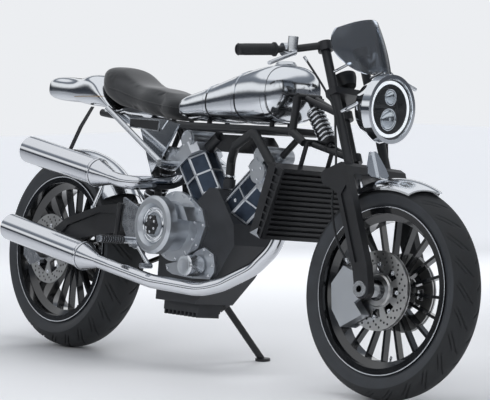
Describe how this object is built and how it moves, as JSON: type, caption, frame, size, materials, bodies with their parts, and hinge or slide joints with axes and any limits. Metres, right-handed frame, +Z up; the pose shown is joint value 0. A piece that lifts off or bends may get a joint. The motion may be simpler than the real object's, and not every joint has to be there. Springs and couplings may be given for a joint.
{
  "type": "cafe racer motorcycle",
  "caption": "Cafe racer motorcycle with an open V-twin engine, spoked wheels, girder-type fork, polished tank and twin silencers, leaning on its side stand.",
  "frame": {"origin": "on the ground under the middle of the outline of the parked machine", "axes": "+X forward, +Y to the left, +Z up; the machine leans 6 degrees to its left on the side stand"},
  "size_m": [2.1759, 0.6884, 1.0916],
  "materials": {
    "cast_aluminium": "bead blasted",
    "chrome": "bright chrome",
    "clear_glass": "clear",
    "dark_blue_grey": "satin anodised",
    "gloss_black": "gloss",
    "machined_aluminium": "fine turned",
    "polished_aluminium": "mirror polish",
    "rubber": "matt",
    "satin_black": "satin",
    "smoked_screen": "smoked",
    "steel": "ground",
    "suede": "napped",
    "tyre_rubber": "matt"
  },
  "bodies": {
    "chassis": {"rear_axle": "steel", "swingarm": "satin_black", "chain": "steel", "drive_sprocket": "steel", "rear_caliper": "machined_aluminium", "engine_case": "cast_aluminium", "clutch_cover": "cast_aluminium", "alternator_cover": "cast_aluminium", "oil_filter": "satin_black", "cylinders": "dark_blue_grey", "cylinder_heads": "cast_aluminium", "airbox": "satin_black", "oil_sump": "cast_aluminium", "radiator": "satin_black", "radiator_frames": "machined_aluminium", "swingarm_pivot": "steel", "wishbones": "satin_black", "rear_shock": "steel", "front_shock": "steel", "tank": "polished_aluminium", "seat": "suede", "tail": "polished_aluminium", "tank_bands": "satin_black", "frame": "satin_black", "side_panels": "satin_black", "seat_struts": "chrome", "rear_mudguard": "gloss_black", "silencers": "chrome", "exhaust_pipes": "chrome", "coolant_hose": "rubber", "footrests": "machined_aluminium", "foot_pedals": "machined_aluminium", "stand_bracket": "satin_black"},
    "steering": {"fork": "satin_black", "fork_shield": "polished_aluminium", "handlebar": "chrome", "grips": "rubber", "levers": "machined_aluminium", "headlight": "chrome", "headlight_lens": "clear_glass", "headlight_reflector": "chrome", "flyscreen": "smoked_screen", "front_mudguard": "gloss_black", "front_calipers": "machined_aluminium", "front_axle": "machined_aluminium", "speedometer": "satin_black"},
    "front_wheel": {"front_tyre": "tyre_rubber", "front_rim": "gloss_black", "front_discs": "steel"},
    "rear_wheel": {"rear_tyre": "tyre_rubber", "rear_rim": "gloss_black", "rear_disc": "steel", "rear_sprocket": "steel"},
    "side_stand": {"side_stand": "satin_black"}
  },
  "joints": [
    {"name": "steering_turn", "type": "hinge", "parent": "chassis", "child": "steering", "pos_m": [0.8713, -0.08483, 0.00041], "axis": [-0.3967, 0.0959, 0.9129], "range_deg": [-32, 22]},
    {"name": "front_wheel_spin", "type": "hinge", "parent": "steering", "child": "front_wheel", "pos_m": [0.77633, -0.04897, 0.31086], "axis": [-0.0801, 0.9871, -0.1385], "continuous": true},
    {"name": "rear_wheel_spin", "type": "hinge", "parent": "chassis", "child": "rear_wheel", "pos_m": [-0.76354, -0.05091, 0.32394], "axis": [-0.0001, 0.9945, -0.1045], "continuous": true},
    {"name": "stand_fold", "type": "hinge", "parent": "chassis", "child": "side_stand", "pos_m": [-0.1086, 0.05395, 0.19244], "axis": [0.1789, 0.7924, 0.5832], "range_deg": [0, 91]}
  ]
}
